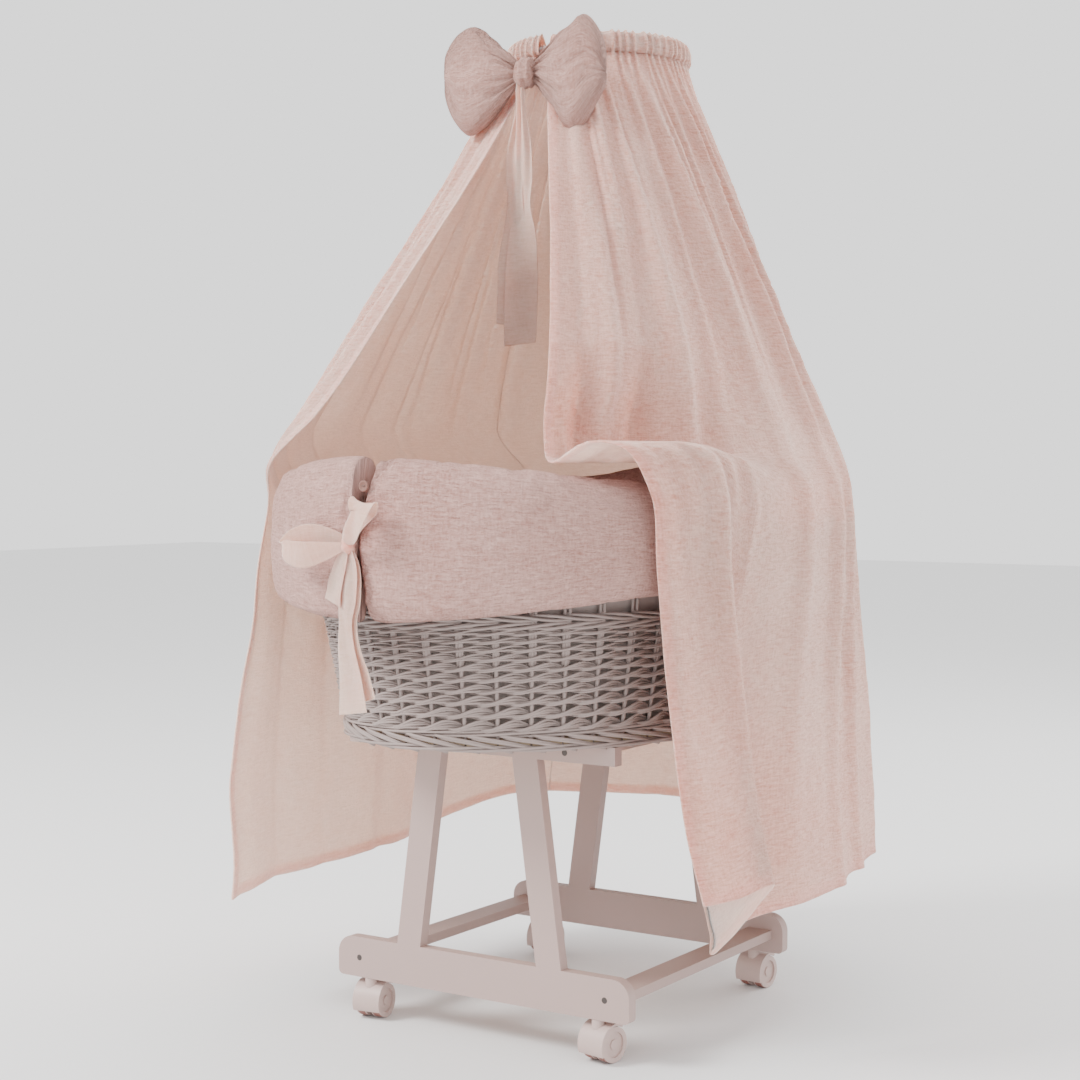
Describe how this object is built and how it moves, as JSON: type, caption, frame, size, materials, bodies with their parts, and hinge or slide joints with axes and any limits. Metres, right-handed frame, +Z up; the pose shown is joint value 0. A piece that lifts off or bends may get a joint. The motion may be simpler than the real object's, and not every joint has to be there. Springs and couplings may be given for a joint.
{
  "type": "bassinet on stand",
  "caption": "Oval wicker bassinet on a timber stand with swivel castors, padded muslin rim flaps and a gathered muslin canopy hung from a ring with a bow.",
  "frame": {"origin": "on the floor under the middle of the stand", "axes": "+Z up, +X along the runner boards towards the drape's right side, +Y along the basket from its foot end to its head end"},
  "size_m": [0.808, 1.04, 1.476],
  "materials": {
    "painted_wood": "satin paint",
    "bare_wood": "plain",
    "wicker": "whitewashed",
    "castor_plastic": "satin",
    "steel": "brushed",
    "dark_steel": "blackened",
    "white_metal": "gloss paint",
    "inner_cloth": "plain weave",
    "muslin": "crinkled double gauze",
    "button_plastic": "plain"
  },
  "bodies": {
    "stand": {"back_bearer": "painted_wood", "back_board": "painted_wood", "back_left_leg": "painted_wood", "back_right_leg": "painted_wood", "basket_base": "bare_wood", "basket_foot_border": "wicker", "basket_top_border": "wicker", "basket_wall": "wicker", "bearer_screws": "dark_steel", "bow_knot": "muslin", "bow_loop_left": "muslin", "bow_loop_right": "muslin", "bow_tails": "muslin", "canopy_pole": "white_metal", "canopy_ring": "white_metal", "castor_sockets": "steel", "drape": "muslin", "flap_button": "button_plastic", "flap_left": "muslin", "flap_right": "muslin", "front_bearer": "painted_wood", "front_board": "painted_wood", "front_left_leg": "painted_wood", "front_right_leg": "painted_wood", "left_batten": "painted_wood", "left_rail": "painted_wood", "leg_dowels": "bare_wood", "liner": "inner_cloth", "mattress": "inner_cloth", "pole_bracket": "white_metal", "rail_screws": "dark_steel", "right_batten": "painted_wood", "right_rail": "painted_wood", "ring_clip": "white_metal", "tie_bow": "muslin"},
    "castor_front_left": {"castor_front_left_stem": "steel", "castor_front_left_hood": "castor_plastic", "castor_front_left_axle": "steel"},
    "castor_front_left_wheel_left_body": {"castor_front_left_wheel_left": "castor_plastic"},
    "castor_front_left_wheel_right_body": {"castor_front_left_wheel_right": "castor_plastic"},
    "castor_front_right": {"castor_front_right_stem": "steel", "castor_front_right_hood": "castor_plastic", "castor_front_right_axle": "steel"},
    "castor_front_right_wheel_left_body": {"castor_front_right_wheel_left": "castor_plastic"},
    "castor_front_right_wheel_right_body": {"castor_front_right_wheel_right": "castor_plastic"},
    "castor_back_left": {"castor_back_left_stem": "steel", "castor_back_left_hood": "castor_plastic", "castor_back_left_axle": "steel"},
    "castor_back_left_wheel_left_body": {"castor_back_left_wheel_left": "castor_plastic"},
    "castor_back_left_wheel_right_body": {"castor_back_left_wheel_right": "castor_plastic"},
    "castor_back_right": {"castor_back_right_stem": "steel", "castor_back_right_hood": "castor_plastic", "castor_back_right_axle": "steel"},
    "castor_back_right_wheel_left_body": {"castor_back_right_wheel_left": "castor_plastic"},
    "castor_back_right_wheel_right_body": {"castor_back_right_wheel_right": "castor_plastic"}
  },
  "joints": [
    {"name": "castor_front_left_swivel", "type": "hinge", "parent": "stand", "child": "castor_front_left", "pos_m": [-0.2, -0.235, 0.061], "axis": [0, 0, 1], "continuous": true},
    {"name": "castor_front_left_wheel_left_spin", "type": "hinge", "parent": "castor_front_left", "child": "castor_front_left_wheel_left_body", "pos_m": [-0.20167, -0.22312, 0.025], "axis": [0.9903, 0.1392, 0], "continuous": true},
    {"name": "castor_front_left_wheel_right_spin", "type": "hinge", "parent": "castor_front_left", "child": "castor_front_left_wheel_right_body", "pos_m": [-0.20167, -0.22312, 0.025], "axis": [0.9903, 0.1392, 0], "continuous": true},
    {"name": "castor_front_right_swivel", "type": "hinge", "parent": "stand", "child": "castor_front_right", "pos_m": [0.2, -0.235, 0.061], "axis": [0, 0, 1], "continuous": true},
    {"name": "castor_front_right_wheel_left_spin", "type": "hinge", "parent": "castor_front_right", "child": "castor_front_right_wheel_left_body", "pos_m": [0.20208, -0.22318, 0.025], "axis": [0.9848, -0.1736, 0], "continuous": true},
    {"name": "castor_front_right_wheel_right_spin", "type": "hinge", "parent": "castor_front_right", "child": "castor_front_right_wheel_right_body", "pos_m": [0.20208, -0.22318, 0.025], "axis": [0.9848, -0.1736, 0], "continuous": true},
    {"name": "castor_back_left_swivel", "type": "hinge", "parent": "stand", "child": "castor_back_left", "pos_m": [-0.2, 0.235, 0.061], "axis": [0, 0, 1], "continuous": true},
    {"name": "castor_back_left_wheel_left_spin", "type": "hinge", "parent": "castor_back_left", "child": "castor_back_left_wheel_left_body", "pos_m": [-0.20063, 0.24698, 0.025], "axis": [0.9986, 0.0523, 0], "continuous": true},
    {"name": "castor_back_left_wheel_right_spin", "type": "hinge", "parent": "castor_back_left", "child": "castor_back_left_wheel_right_body", "pos_m": [-0.20063, 0.24698, 0.025], "axis": [0.9986, 0.0523, 0], "continuous": true},
    {"name": "castor_back_right_swivel", "type": "hinge", "parent": "stand", "child": "castor_back_right", "pos_m": [0.2, 0.235, 0.061], "axis": [0, 0, 1], "continuous": true},
    {"name": "castor_back_right_wheel_left_spin", "type": "hinge", "parent": "castor_back_right", "child": "castor_back_right_wheel_left_body", "pos_m": [0.20105, 0.24695, 0.025], "axis": [0.9962, -0.0872, 0], "continuous": true},
    {"name": "castor_back_right_wheel_right_spin", "type": "hinge", "parent": "castor_back_right", "child": "castor_back_right_wheel_right_body", "pos_m": [0.20105, 0.24695, 0.025], "axis": [0.9962, -0.0872, 0], "continuous": true}
  ]
}
